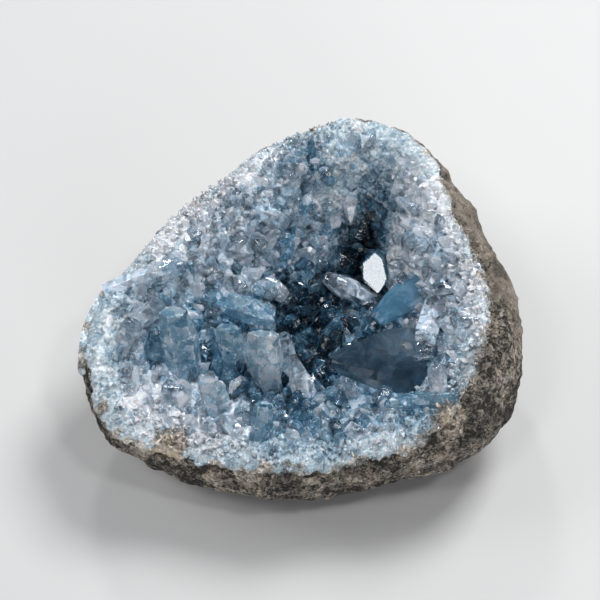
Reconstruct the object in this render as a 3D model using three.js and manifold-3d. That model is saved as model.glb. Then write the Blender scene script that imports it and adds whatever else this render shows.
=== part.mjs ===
// Half of a celestite geode: a broken nodule of rock lying on its rounded back, its hollow lined with blue crystals.
// Millimetres, +Z up, +X along its greatest width, the origin under its middle on the surface that it rests on.
// It has two pieces: the rock shell, with a pale broken lip round the hollow, and the crust of crystals grown in it.
import * as THREE from "three";
import { ParametricGeometry } from "three/addons/geometries/ParametricGeometry.js";
import { mergeVertices } from "three/addons/utils/BufferGeometryUtils.js";
import Module from "manifold-3d";

const wasm = await Module();
wasm.setup();
const { degToRad, lerp, smoothstep } = THREE.MathUtils;

// The outline of the rock, one value every 24 degrees round from +X towards +Y.
const GIRTH_RADIUS = [65.5, 61, 58.5, 57.5, 50.5, 45, 46, 50.5, 62.5, 67, 56, 54, 53, 62, 68.5];
const EDGE_INSET = [12.5, 12, 3, 1.5, 1, 1, 1, 1, 1, 1, 1, 2, 1, 4, 12];
const EDGE_HEIGHT = [48, 51, 54, 54, 50, 47, 44, 41, 35, 31, 26, 28, 27, 36, 44];
const FLAT_RADIUS = 18; // the small flat spot that it rests on
const MIDDLE = [1.15, 1.23]; // the finished rock's middle, which goes over the origin

// The hollow: a raised lip inside the broken edge, a slope down from it, and a floor with two pits.
const DEEPEST = [10, 8];
const FLOOR_HEIGHT = 14;
const LIP_RISE = 2;
const LIP_CREST = 3.5; // how far inside the broken edge the lip is highest
const PITS = [
  { x: 2, y: 11, radius: 10, depth: 7 },
  { x: 21, y: 32, radius: 11, depth: 14 },
];

// The lumps of the rock: how wide they are, and how high.
const LUMPS = [
  { size: 32, height: 3 },
  { size: 15, height: 3.5 },
];
const LUMP_FREE = 6; // the lumps fade out below this height, towards the flat spot

// The mesh of the rock: sections round it, and rows along each section.
const SECTIONS = 44;
const BELLY_ROWS = 8;
const SHOULDER_ROWS = 4;
const LIP_ROWS = 3;
const BED_ROWS = 5;

// The crust: a bed let into the rock, and crystals standing on it.
const BED_THICKNESS = 5;
const BED_STEP = 2; // how far in the rock's rebate for the bed reaches its depth
const BED_RIM = 0.6; // how far the bed's rim stands up
const GAP = 0.3; // between the rock and the crust
const ROOT = 2; // how deep a crystal stands in the bed

// The small crystals, with their sizes at the lip and in the deep hollow.
const CRYSTALS = 48;
const CRYSTAL_LENGTH = [4.5, 9];
const CRYSTAL_WIDTH = [8.5, 12.5];
const GOLDEN_ANGLE = Math.PI * (3 - Math.sqrt(5));

// The great crystals. Each row has a name, the azimuth and the distance inwards that the crystal stands at, how
// far it leans from upright and towards which azimuth, its length, its width, its depth as a share of the width,
// what is left of its width and of its depth at the tip, how far up its shoulder is, and how far it is spun.
const GREAT_CRYSTALS = [
  ["broad slab", 325, 14, 86, 174, 29, 3.7, 6.6, 0.8, 0.3, 0.6, 320],
  ["right face", 7, 14, 102, 220, 19, 2.9, 4.4, 0.8, 0.45, 0.5, 40],
  ["right block", 352, 16, 70, 257, 23, 8.9, 1.11, 0.6, 0.7, 0.6, 105],
  ["slab's prop", 318, 5, 91, 186, 17, 5.5, 1.0, 0.4, 0.4, 0.7, 335],
  ["pale block", 317, 7, 25, 110, 11, 4.9, 1.25, 0.7, 0.7, 0.7, 270],
  ["half dome", 290, 24, 21, 123, 10, 6.2, 1.11, 0.5, 0.6, 0.5, 310],
  ["clear point", 266, 26, 35, 114, 16, 7.5, 1.11, 0.3, 0.35, 0.65, 280],
  ["tall block", 240, 32, 23, 93, 20, 9.0, 1.43, 0.5, 0.8, 0.65, 270],
  ["tall block's twin", 249, 34, 28, 97, 18, 5.6, 1.25, 0.4, 0.5, 0.7, 275],
  ["white shoulder", 227, 44, 31, 148, 15, 7.1, 1.25, 0.6, 0.8, 0.6, 295],
  ["lying rod", 176, 26, 90, 339, 21, 8.0, 1.11, 0.55, 0.6, 0.8, 190],
  ["teal block", 218, 40, 18, 94, 17, 7.5, 1.25, 0.85, 0.85, 0.7, 275],
  ["clear rod", 146, 25, 103, 324, 14, 5.4, 1.11, 0.3, 0.6, 0.8, 170],
  ["hanging point", 71, 12, 124, 267, 12, 6.0, 1.11, 0.12, 0.3, 0.6, 85],
  ["hanging tip", 84, 21, 116, 250, 10, 4.4, 1.25, 0.5, 0.5, 0.7, 60],
  ["glassy blade", 16, 22, 66, 167, 21, 5.8, 1.67, 0.35, 0.5, 0.75, 310],
  ["mirror plate", 45, 20, 41, 251, 13, 10.2, 1.4, 0.95, 0.95, 0.8, 0],
  ["smooth blue face", 211, 28, 18, 106, 23, 8.0, 1.67, 0.7, 0.7, 0.6, 280],
  ["dark diamond", 204, 20, 17, 84, 13, 6.4, 1.25, 0.2, 0.3, 0.5, 275],
  ["pale wedge", 205, 24, 18, 116, 12, 3.6, 1.43, 0.3, 0.8, 0.6, 285],
  ["sparkling block", 190, 13, 40, 19, 12, 8.3, 1.11, 0.6, 0.7, 0.6, 245],
  ["pale cluster", 178, 2, 75, 15, 20, 7.0, 1.25, 0.6, 0.6, 0.7, 230],
  ["dark gem", 88, 9, 20, 97, 8, 4.5, 1.0, 0.3, 0.4, 0.6, 270],
  ["rounded lens", 121, 12, 88, 332, 12, 6.5, 1.11, 0.6, 0.6, 0.7, 185],
  ["dark round", 110, 18, 113, 272, 9, 7.1, 1.11, 0.6, 0.7, 0.7, 95],
  ["pool block", 311, 47, 27, 99, 11, 6.3, 1.43, 0.5, 0.6, 0.6, 270],
  ["pool point", 260, 52, 28, 40, 12, 5.3, 1.25, 0.3, 0.5, 0.6, 250],
  ["step block", 356, 32, 55, 168, 12, 5.8, 1.25, 0.5, 0.6, 0.6, 310],
  ["low block", 232, 20, 21, 131, 13, 6.4, 1.43, 0.5, 0.7, 0.6, 290],
  ["low teal", 254, 10, 20, 88, 13, 5.9, 1.43, 0.5, 0.7, 0.6, 270],
  ["far left block", 198, 10, 28, 33, 12, 6.0, 1.43, 0.5, 0.7, 0.6, 255],
];
const GREAT_SEED = 200;

// A number from 0 to 1 that is different for each a, b and c, and the same every time.
function chance(a, b = 0, c = 0) {
  const s = Math.sin(a * 127.1 + b * 311.7 + c * 74.7) * 43758.5453;
  return s - Math.floor(s);
}

// The value of a closed row of numbers at an azimuth, on a smooth curve through them.
function round(values, azimuth) {
  const n = values.length;
  const place = ((azimuth / (2 * Math.PI) + 1) % 1) * n;
  const i = Math.floor(place);
  const t = place - i;
  const [a, b, c, d] = [-1, 0, 1, 2].map((k) => values[(i + k + n) % n]);
  return b + 0.5 * ((c - a) * t + (2 * a - 5 * b + 4 * c - d) * t ** 2 + (3 * b - a - 3 * c + d) * t ** 3);
}

// Smooth roughness from -0.5 to 0.5: a chance value at each corner of a lattice of this size, blended in between.
function rough(p, size) {
  const cell = p.map((v) => Math.floor(v / size));
  const near = p.map((v, i) => smoothstep(v / size - cell[i], 0, 1));
  let sum = -0.5;
  for (let corner = 0; corner < 8; corner++) {
    const side = [corner & 1, (corner >> 1) & 1, corner >> 2];
    const share = side.reduce((s, far, i) => s * (far ? near[i] : 1 - near[i]), 1);
    sum += share * chance(cell[0] + side[0], cell[1] + side[1], cell[2] + side[2]);
  }
  return sum;
}

// The broken edge at an azimuth.
function edgeAt(azimuth) {
  const radius = round(GIRTH_RADIUS, azimuth) - round(EDGE_INSET, azimuth);
  return [radius * Math.cos(azimuth), radius * Math.sin(azimuth), round(EDGE_HEIGHT, azimuth)];
}

// How far it is from the broken edge to the deepest place, how wide the lip is, and how far in the slope ends.
// The lip is widest at the front left, and the slope is longest there.
function reachAt(azimuth) {
  const [x, y] = edgeAt(azimuth);
  const reach = Math.hypot(x - DEEPEST[0], y - DEEPEST[1]);
  const lip = 7 - 2.5 * Math.cos(azimuth - degToRad(60));
  const slope = lerp(lip, reach, 0.85 - 0.15 * Math.cos(azimuth - degToRad(40)));
  return { reach, lip, slope };
}

// A point of the hollow, a distance inwards from the broken edge, and lower by letIn where the bed goes.
function hollowAt(azimuth, inward, letIn = 0) {
  const edge = edgeAt(azimuth);
  const { reach, lip, slope } = reachAt(azimuth);
  const x = lerp(edge[0], DEEPEST[0], inward / reach);
  const y = lerp(edge[1], DEEPEST[1], inward / reach);
  const crest = inward / LIP_CREST;
  const top = edge[2] + LIP_RISE * crest * Math.exp(1 - crest);
  let z = lerp(top, FLOOR_HEIGHT, smoothstep(inward, lip / 2, slope));
  for (const pit of PITS) {
    z -= pit.depth * Math.exp(-((x - pit.x) ** 2 + (y - pit.y) ** 2) / pit.radius ** 2);
  }
  return [x, y, z - letIn * smoothstep(inward, lip, lip + BED_STEP)];
}

// A point of the rock's back. The belly is a quarter turn from the flat spot up to the girth, which is lower on the
// right, and the shoulder is a quarter turn from there in to the broken edge.
function backAt(azimuth, part, t) {
  const girth = round(GIRTH_RADIUS, azimuth);
  const top = round(EDGE_HEIGHT, azimuth);
  const middle = top * (0.72 - 0.16 * Math.cos(azimuth + degToRad(20)));
  const rise = Math.sin((t * Math.PI) / 2);
  const turn = 1 - Math.cos((t * Math.PI) / 2);
  const belly = part === "belly";
  const radius = belly ? lerp(FLAT_RADIUS, girth, rise) : girth - round(EDGE_INSET, azimuth) * turn;
  const height = belly ? middle * turn : lerp(middle, top, rise);
  return [radius * Math.cos(azimuth), radius * Math.sin(azimuth), height];
}

// The rock's section at an azimuth, row by row from the middle of the flat spot to the deepest place of the hollow.
const ROCK_ROWS = 1 + BELLY_ROWS + SHOULDER_ROWS + LIP_ROWS + 1 + BED_ROWS;
function rockSection(azimuth, row) {
  if (row === 0) return [0, 0, 0];
  const shoulder = row - 1 - BELLY_ROWS;
  if (shoulder <= 0) return backAt(azimuth, "belly", (row - 1) / BELLY_ROWS);
  const lipRow = shoulder - SHOULDER_ROWS;
  if (lipRow <= 0) return backAt(azimuth, "shoulder", shoulder / SHOULDER_ROWS);
  const { reach, lip } = reachAt(azimuth);
  const bedRow = lipRow - LIP_ROWS - 1;
  if (bedRow < 0) return hollowAt(azimuth, (lip * lipRow) / LIP_ROWS);
  return hollowAt(azimuth, lerp(lip + BED_STEP, reach, bedRow / BED_ROWS), BED_THICKNESS);
}

// The bed's section at an azimuth, from its middle underneath out to its rim and back over the top. Underneath it
// goes into the rock, which is cut away from it later.
function bedSection(azimuth, row) {
  const { reach, lip } = reachAt(azimuth);
  const under = row <= BED_ROWS;
  const share = under ? 1 - row / BED_ROWS : (row - BED_ROWS - 1) / BED_ROWS;
  const [x, y, z] = hollowAt(azimuth, lerp(lip, reach, share));
  return [x, y, under ? z - BED_THICKNESS - 1 : z + BED_RIM];
}

// A geometry with equal points merged, and without the triangles that this leaves with no area.
function closed(geometry) {
  geometry.deleteAttribute("normal");
  geometry.deleteAttribute("uv");
  const merged = mergeVertices(geometry, 1e-3);
  const corners = merged.index.array;
  const kept = [];
  for (let i = 0; i < corners.length; i += 3) {
    const [a, b, c] = corners.slice(i, i + 3);
    if (a !== b && b !== c && c !== a) kept.push(a, b, c);
  }
  return merged.setIndex(kept);
}

// A closed surface from its sections, with its seam and its two poles merged.
function skin(sections, rows, sectionAt) {
  const place = (u, v, target) => target.set(...sectionAt(u * 2 * Math.PI, Math.round(v * rows)));
  return closed(new ParametricGeometry(place, sections, rows));
}

// A copy of a surface with each point moved out along its normal, by the rock's lumps there and by extra.
function lumpy(geometry, extra = 0) {
  const made = geometry.clone();
  made.computeVertexNormals();
  const { position, normal } = made.attributes;
  for (let i = 0; i < position.count; i++) {
    const p = [position.getX(i), position.getY(i), position.getZ(i)];
    const lump = LUMPS.reduce((sum, { size, height }) => sum + height * rough(p, size), 0);
    const out = lump * smoothstep(p[2], 0, LUMP_FREE) + extra;
    position.setXYZ(i, p[0] + normal.getX(i) * out, p[1] + normal.getY(i) * out, p[2] + normal.getZ(i) * out);
  }
  return made;
}

// A closed geometry as a solid that can be cut and joined, turned right side out if need be.
function solid(geometry) {
  const triVerts = new Uint32Array(geometry.index.array);
  const vertProperties = new Float32Array(geometry.attributes.position.array);
  const made = new wasm.Manifold(new wasm.Mesh({ numProp: 3, vertProperties, triVerts }));
  if (made.volume() > 0) return made;
  return new wasm.Manifold(new wasm.Mesh({ numProp: 3, vertProperties, triVerts: triVerts.reverse() }));
}

// A crystal standing on the origin: a prism that widens to a slanting shoulder, and a tip set a little aside, which
// is blunt times as wide as the shoulder and edge times as deep.
function crystal({ length, width, thick, blunt, edge, shoulder, sides }, seed) {
  const profile = [[0, 0], [0.85, 0], [1, shoulder], [blunt, 1], [0, 1]];
  const points = profile.map(([r, h]) => new THREE.Vector2(r, h));
  const geometry = new THREE.LatheGeometry(points, sides).rotateX(Math.PI / 2);
  const { position } = geometry.attributes;
  const slant = [5, 6].map((k) => 0.5 * (chance(seed, k) - 0.5));
  const aside = [blunt, edge].map((left, k) => 0.6 * (chance(seed, 7 + k) - 0.5) * (1 - left));
  for (let i = 0; i < position.count; i++) {
    const [x, y, z] = [position.getX(i), position.getY(i), position.getZ(i)];
    const tip = z > 0.99 ? 1 : 0;
    const deep = tip ? (y * edge) / blunt : y;
    const rise = z > 0.01 ? slant[0] * x + slant[1] * deep : 0;
    const [across, along] = [x + aside[0] * tip, deep + aside[1] * tip];
    position.setXYZ(i, (across * width) / 2, (along * width * thick) / 2, z * length + (rise * width) / 2);
  }
  return closed(geometry);
}

// Where a crystal stands on the bed, and the way straight out of the bed there.
function standAt(azimuth, inward) {
  const here = new THREE.Vector3(...hollowAt(azimuth, inward));
  const beside = new THREE.Vector3(...hollowAt(azimuth + 0.02, inward)).sub(here);
  const above = new THREE.Vector3(...hollowAt(azimuth, inward - 0.5)).sub(here);
  return { here, out: above.cross(beside).normalize() };
}

// A crystal spun about itself, turned from upright to its axis, and planted with its root in the bed.
function planted(geometry, here, axis, spin, root) {
  const turn = new THREE.Quaternion().setFromUnitVectors(new THREE.Vector3(0, 0, 1), axis);
  const foot = here.clone().addScaledVector(axis, -root);
  return solid(geometry.rotateZ(spin).applyQuaternion(turn).translate(foot.x, foot.y, foot.z));
}

// The small crystals stand on a spiral out from the deepest place, and lean at random. They get smaller outwards.
function smallCrystal(i) {
  const azimuth = i * GOLDEN_ANGLE;
  const outward = ((i + 0.5) / CRYSTALS) ** 0.45;
  const { reach, lip } = reachAt(azimuth);
  const { here, out } = standAt(azimuth, lerp(reach, lip, outward));
  const lean = new THREE.Vector3(chance(i, 1) - 0.5, chance(i, 2) - 0.5, 0.35);
  const size = 1 - outward ** 1.5;
  const shape = {
    length: lerp(...CRYSTAL_LENGTH, size) * lerp(0.7, 1.3, chance(i, 3)) + ROOT,
    width: lerp(...CRYSTAL_WIDTH, size) * lerp(0.75, 1.25, chance(i, 4)),
    thick: lerp(0.5, 1, chance(i, 9)),
    blunt: i % 2 ? 0.05 : 0.35,
    edge: lerp(0.1, 0.9, chance(i, 10)),
    shoulder: lerp(0.5, 0.8, chance(i, 5)),
    sides: 4,
  };
  return planted(crystal(shape, i), here, out.multiplyScalar(0.75).add(lean).normalize(), i, ROOT);
}

// A great crystal stands at its own place, and the wider it is, the deeper is its root.
function greatCrystal([, azimuth, inward, lean, towards, length, width, thick, blunt, edge, shoulder, spin], i) {
  const { here } = standAt(degToRad(azimuth), inward);
  const axis = new THREE.Vector3().setFromSphericalCoords(1, degToRad(lean), 0);
  axis.set(axis.z * Math.cos(degToRad(towards)), axis.z * Math.sin(degToRad(towards)), axis.y);
  const root = ROOT + 0.25 * width * Math.max(1, thick);
  const shape = { length: length + root, width, thick, blunt, edge, shoulder, sides: 6 };
  return planted(crystal(shape, GREAT_SEED + i), here, axis, degToRad(spin), root);
}

// A solid as a named piece, moved so that the rock's middle is over the origin.
function piece(name, made, look) {
  const { vertProperties, triVerts } = made.getMesh();
  const geometry = new THREE.BufferGeometry();
  geometry.setAttribute("position", new THREE.BufferAttribute(vertProperties, 3));
  geometry.setIndex(new THREE.BufferAttribute(triVerts, 1));
  const mesh = new THREE.Mesh(geometry, new THREE.MeshStandardMaterial(look));
  mesh.name = name;
  mesh.position.set(-MIDDLE[0], -MIDDLE[1], 0);
  return mesh;
}

// The rock is cut away from the crust with a gap, and the crust's biggest body is kept.
const rock = skin(SECTIONS, ROCK_ROWS, rockSection);
const bed = solid(lumpy(skin(SECTIONS / 2, 2 * BED_ROWS + 1, bedSection)));
const small = [...Array(CRYSTALS).keys()].map(smallCrystal);
const great = GREAT_CRYSTALS.map(greatCrystal);
const grown = wasm.Manifold.union([bed, ...small, ...great]).subtract(solid(lumpy(rock, GAP)));
const crust = grown.decompose().reduce((a, b) => (a.volume() > b.volume() ? a : b));

const geode = new THREE.Group();
geode.add(piece("geode_shell", solid(lumpy(rock)), { color: 0x8a8078, roughness: 0.9, metalness: 0 }));
geode.add(piece("crystal_crust", crust, { color: 0x7fa6ba, roughness: 0.15, metalness: 0 }));

export default geode;
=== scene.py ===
import bpy
import numpy as np
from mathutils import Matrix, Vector


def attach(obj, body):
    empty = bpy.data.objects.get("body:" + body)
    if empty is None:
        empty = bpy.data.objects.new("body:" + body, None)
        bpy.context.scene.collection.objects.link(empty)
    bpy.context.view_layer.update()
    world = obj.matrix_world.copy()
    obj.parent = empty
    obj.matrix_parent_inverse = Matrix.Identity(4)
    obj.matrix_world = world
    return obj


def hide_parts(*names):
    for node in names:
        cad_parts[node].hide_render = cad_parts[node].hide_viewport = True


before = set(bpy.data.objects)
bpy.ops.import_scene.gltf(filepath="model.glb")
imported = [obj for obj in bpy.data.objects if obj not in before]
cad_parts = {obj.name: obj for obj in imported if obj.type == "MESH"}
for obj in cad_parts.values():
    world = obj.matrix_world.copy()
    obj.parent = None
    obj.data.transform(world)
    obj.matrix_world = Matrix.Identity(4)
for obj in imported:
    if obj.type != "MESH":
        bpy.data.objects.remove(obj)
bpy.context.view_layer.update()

# ----------------------------------------------------------------------------------------------------------
# The rock shell: half of a nodule of limestone that was broken open. Its rounded back has a rough
# brown-grey rind, and where it broke it has a pale, sugary lip of the same stone as the crystals' bed. The
# rind is one closed skin round the whole wall, and the lip is laid over its edge.

# Sizes are in millimetres. The rows are read round the nodule in equal steps, and MIDDLE is the middle of
# its box. A pit has its x, y, radius and depth, and a lump its size and height. A width or share that
# changes round the nodule has its mean, its swing, and the azimuth where it is least.
MM = 0.001
MIDDLE = np.array([1.15, 1.23, 0.0])
GIRTH_RADIUS = [65.5, 61, 58.5, 57.5, 50.5, 45, 46, 50.5, 62.5, 67, 56, 54, 53, 62, 68.5]
EDGE_INSET = [12.5, 12, 3, 1.5, 1, 1, 1, 1, 1, 1, 1, 2, 1, 4, 12]
EDGE_HEIGHT = [48, 51, 54, 54, 50, 47, 44, 41, 35, 31, 26, 28, 27, 36, 44]
FLAT_RADIUS = 18
DEEPEST = np.array([10.0, 8.0])
FLOOR_HEIGHT = 14
LIP_RISE, LIP_CREST = 2, 3.5
LIP_WIDTH, LIP_SWING, LIP_NARROWEST = 7, 2.5, np.radians(60)
SLOPE_SHARE, SLOPE_SWING, SLOPE_SHORTEST = 0.85, 0.15, np.radians(40)
GIRTH_SHARE, GIRTH_SWING, GIRTH_LOWEST = 0.72, 0.16, np.radians(-20)
PITS = [(2, 11, 10, 7), (21, 32, 11, 14)]
LUMPS = [(32, 3), (15, 3.5)]
LUMP_FREE = 6
BED_THICKNESS, BED_STEP = 5, 2


def chance(a, b=0, c=0):
    """A number from 0 to 1 for each a, b and c: the fraction of a large multiple of a sine of them."""
    s = np.sin(a * 127.1 + b * 311.7 + c * 74.7) * 43758.5453
    return s - np.floor(s)


def blend(a, b, t):
    """A straight line from a, where t is 0, to b, where t is 1."""
    return a + (b - a) * t


def smooth(x, low, high):
    """0 below low, 1 above high, and the cubic 3t^2 - 2t^3 in between."""
    t = np.clip((x - low) / (high - low), 0, 1)
    return t * t * (3 - 2 * t)


def bell(x, y, radius):
    """A bell, 1 in the middle: e to the power of minus the squared distance over the squared radius."""
    return np.exp(-(x**2 + y**2) / radius**2)


def around(values, azimuth):
    """A closed row of values read at azimuths, on the Catmull-Rom curve through them."""
    values = np.asarray(values, float)
    place = (azimuth / (2 * np.pi) + 1) % 1 * len(values)
    i = np.floor(place).astype(int)
    t = place - i
    a, b, c, d = (values[(i + k) % len(values)] for k in (-1, 0, 1, 2))
    return b + 0.5 * ((c - a) * t + (2 * a - 5 * b + 4 * c - d) * t**2 + (3 * b - a - 3 * c + d) * t**3)


def rough(points, size):
    """Smooth roughness from -0.5 to 0.5: chance values on a cubic lattice, blended by the smooth cubic."""
    scaled = points / size
    cell = np.floor(scaled)
    near = smooth(scaled - cell, 0, 1)
    total = -0.5
    for corner in range(8):
        side = np.array([corner & 1, corner >> 1 & 1, corner >> 2])
        share = np.prod(np.where(side == 1, near, 1 - near), axis=-1)
        total = total + share * chance(*np.moveaxis(cell + side, -1, 0))
    return total


def edge_at(azimuth):
    """The broken edge: its radius is the girth's less the inset, and its height is read from the row."""
    radius = around(GIRTH_RADIUS, azimuth) - around(EDGE_INSET, azimuth)
    return radius * np.cos(azimuth), radius * np.sin(azimuth), around(EDGE_HEIGHT, azimuth)


def reach_at(azimuth):
    """How far the deepest place is from the edge, how wide the lip is, and how far in the slope ends."""
    x, y, _ = edge_at(azimuth)
    reach = np.hypot(x - DEEPEST[0], y - DEEPEST[1])
    lip = LIP_WIDTH - LIP_SWING * np.cos(azimuth - LIP_NARROWEST)
    return reach, lip, blend(lip, reach, SLOPE_SHARE - SLOPE_SWING * np.cos(azimuth - SLOPE_SHORTEST))


def hollow_at(azimuth, inward, let_in=0.0):
    """The hollow: seen from above, a straight line from the edge to the deepest place. Its height is the
    raised lip's, going over into the floor's by the smooth cubic, less a bell for each pit and less
    let_in."""
    x, y, z = edge_at(azimuth)
    reach, lip, slope = reach_at(azimuth)
    x, y = blend(x, DEEPEST[0], inward / reach), blend(y, DEEPEST[1], inward / reach)
    crest = inward / LIP_CREST
    z = blend(z + LIP_RISE * crest * np.exp(1 - crest), FLOOR_HEIGHT, smooth(inward, lip / 2, slope))
    for px, py, radius, depth in PITS:
        z = z - depth * bell(x - px, y - py, radius)
    return np.stack([x, y, z - let_in * smooth(inward, lip, lip + BED_STEP)], -1)


def back_at(azimuth, belly, shoulder):
    """The back: an elliptic quarter turn from the flat spot to the girth, then one in to the edge."""
    girth, top = around(GIRTH_RADIUS, azimuth), around(EDGE_HEIGHT, azimuth)
    middle = top * (GIRTH_SHARE - GIRTH_SWING * np.cos(azimuth - GIRTH_LOWEST))
    radius = blend(FLAT_RADIUS, girth, np.sin(belly * np.pi / 2))
    radius = radius - around(EDGE_INSET, azimuth) * (1 - np.cos(shoulder * np.pi / 2))
    height = middle * (1 - np.cos(belly * np.pi / 2)) + (top - middle) * np.sin(shoulder * np.pi / 2)
    return np.stack([radius * np.cos(azimuth), radius * np.sin(azimuth), height], -1)


def outward(grid):
    """Unit normals of a grid whose first axis goes inwards over the skin and whose second goes round."""
    down = np.gradient(grid, axis=0)
    side = np.roll(grid, -1, axis=1) - np.roll(grid, 1, axis=1)
    normal = np.cross(side, down)
    return normal / np.maximum(np.linalg.norm(normal, axis=-1, keepdims=True), 1e-9)


def lumped(grid):
    """The grid moved out along its normals by the rock's big lumps, fading out towards the flat spot."""
    lump = sum(height * rough(grid, size) for size, height in LUMPS)
    return grid + outward(grid) * (lump * smooth(grid[..., 2], 0, LUMP_FREE))[..., None]


def unit(v):
    """The vectors divided by their lengths."""
    return v / np.maximum(np.linalg.norm(v, axis=-1, keepdims=True), 1e-9)


def facets(points, size):
    """Intergrown blocks: each cell of a lattice holds a block with its own centre and three chance
    directions. Its height is a chance rise less the largest distance from the centre along the three, and
    the highest block wins. Gives that height, and a chance number of the block that won."""
    cell = np.floor(points / size)
    best, tone = np.full(points.shape[:-1], -9.0), np.zeros(points.shape[:-1])
    for step in np.ndindex(3, 3, 3):
        here = cell + np.array(step) - 1
        a, b, c = np.moveaxis(here, -1, 0)
        n = np.stack([chance(a, b, c + 0.137 * k) for k in range(13)], -1)
        away = points / size - here - n[..., :3]
        far = np.max([np.abs((away * unit(n[..., k:k + 3] - 0.5)).sum(-1)) for k in (3, 6, 9)], axis=0)
        height = 1 - far + 0.35 * n[..., 12]
        tone = np.where(height > best, n[..., 3], tone)
        best = np.maximum(height, best)
    return best - 0.7, tone


def mesh_piece(name, points, faces, smooth_faces=False):
    """A mesh object from points in millimetres and arrays of faces, each with its own corner count."""
    mesh = bpy.data.meshes.new(name)
    points = (np.asarray(points, float).reshape(-1, 3) - MIDDLE) * MM
    mesh.vertices.add(len(points))
    mesh.vertices.foreach_set("co", points.astype(np.float32).ravel())
    corners = np.concatenate([np.asarray(f).ravel() for f in faces])
    counts = np.concatenate([np.full(len(f), np.asarray(f).shape[1]) for f in faces])
    mesh.loops.add(len(corners))
    mesh.loops.foreach_set("vertex_index", corners.astype(np.int32))
    mesh.polygons.add(len(counts))
    mesh.polygons.foreach_set("loop_start", (np.cumsum(counts) - counts).astype(np.int32))
    mesh.polygons.foreach_set("use_smooth", np.full(len(counts), smooth_faces))
    mesh.update(calc_edges=True)
    mesh.validate()
    piece = bpy.data.objects.new(name, mesh)
    bpy.context.scene.collection.objects.link(piece)
    return piece


def between(row, after, sections):
    """Faces between the points round each row and those round the row after it."""
    j = np.arange(sections)
    k = (j + 1) % sections
    return np.stack(np.broadcast_arrays(row + j, row + k, after + k, after + j), -1).reshape(-1, 4)


def closed_grid(rows, sections):
    """Faces of a surface with one pole point, rows of points round it, and another pole point."""
    row = 1 + np.arange(rows - 1)[:, None] * sections
    j = np.arange(sections)
    k = (j + 1) % sections
    first = np.stack([np.zeros(sections, int), 1 + k, 1 + j], -1)
    last = 1 + (rows - 1) * sections
    final = np.stack([np.full(sections, last + sections), last + j, last + k], -1)
    return [between(row, row + sections, sections), first, final]


def store(piece, name, values, on="POINT"):
    """Stores one number for each point, or each face, of the piece, for its material to read."""
    stored = piece.data.attributes.new(name, "FLOAT", on)
    stored.data.foreach_set("value", np.asarray(values, np.float32).ravel())


# Ledges, pebbles, grits and dents have sizes and heights or depths. Bare stone starts and is full between
# two places to the right and two heights.
SECTIONS = 640
FLAT_ROWS, BELLY_ROWS, SHOULDER_ROWS, HIDDEN_ROWS = 5, 66, 30, 8
LEDGE_SIZE, LEDGE_RISE, LEDGE_SQUAT = 7.5, 1.6, [1, 1, 1.6]
PEBBLE_SIZE, PEBBLE_RISE = 2.6, 0.7
GRITS = [(4.2, 1.2), (1.9, 0.6), (0.95, 0.35)]
DENT_SIZE, DENT_DEPTH = 3.3, 0.7
RIND_SUNK, LIP_SUNK = 0.5, 1.0
BARE_RIGHT, BARE_HEIGHT = (44, 62), (18, 28)
azimuth = np.linspace(0, 2 * np.pi, SECTIONS, endpoint=False)[None, :]
reach, lip, _ = reach_at(azimuth)
flat = np.linspace(0.1, 0.9, FLAT_ROWS)[:, None] * FLAT_RADIUS
flat = np.stack([flat * np.cos(azimuth), flat * np.sin(azimuth), 0 * flat + 0 * azimuth], -1)
belly = back_at(azimuth, np.linspace(0, 1, BELLY_ROWS)[:, None], 0)
shoulder = back_at(azimuth, 1.0, np.linspace(0, 1, SHOULDER_ROWS + 1)[1:, None])
lip_grid = hollow_at(azimuth, lip * np.array([0.1, 0.3, 0.6, 1.0])[:, None])
hidden = np.linspace(0, 0.97, HIDDEN_ROWS)[:, None]
hidden_grid = hollow_at(azimuth, blend(lip + BED_STEP, reach, hidden), BED_THICKNESS)
skin = lumped(np.concatenate([flat, belly, shoulder, lip_grid, hidden_grid]))

edge_row = FLAT_ROWS + BELLY_ROWS + SHOULDER_ROWS
row = np.arange(len(skin))[:, None] + 0 * azimuth
fade = smooth(skin[..., 2], 0.2, 5) * (1 - smooth(row, edge_row - 1, edge_row + 3))
ledges, _ = facets(skin * LEDGE_SQUAT, LEDGE_SIZE)
pebbles, _ = facets(skin, PEBBLE_SIZE)
grit = sum(rise * rough(skin, size) for size, rise in GRITS)
dents = smooth(rough(skin, DENT_SIZE), 0.2, 0.36)
relief = LEDGE_RISE * ledges + PEBBLE_RISE * pebbles + grit - DENT_DEPTH * dents - RIND_SUNK
sunk = LIP_SUNK * smooth(row, edge_row, edge_row + 2)
skin = skin + outward(skin) * (relief * fade - sunk)[..., None]
skin[..., 2] = np.maximum(skin[..., 2], 0)
deepest = hollow_at(np.zeros(1), reach[:, 0], BED_THICKNESS) - [0, 0, 1]
points = np.concatenate([[[0, 0, 0]], skin.reshape(-1, 3), deepest])
rind = mesh_piece("rind", points, closed_grid(len(skin), SECTIONS), smooth_faces=True)
store(rind, "dent", np.concatenate([[0], (dents * fade).ravel(), [0]]))
rightward = skin[..., 0] + 0.6 * skin[..., 1] + 16 * rough(skin, 12)
bare = smooth(rightward, *BARE_RIGHT) * smooth(skin[..., 2], *BARE_HEIGHT)
store(rind, "bare", np.concatenate([[0], bare.ravel(), [0]]))


def feed(tree, made, inputs):
    """Sets inputs of a node: a number or colour is set, and a socket is linked."""
    for key, value in inputs.items():
        if isinstance(value, bpy.types.NodeSocket):
            tree.links.new(value, made.inputs[key])
        else:
            made.inputs[key].default_value = value


def material(name, inputs):
    """A new material with nodes, its node tree and its Principled BSDF, with these inputs."""
    made = bpy.data.materials.new(name)
    made.use_nodes = True
    tree, shader = made.node_tree, made.node_tree.nodes["Principled BSDF"]
    feed(tree, shader, inputs)
    return made, tree, shader


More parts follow.
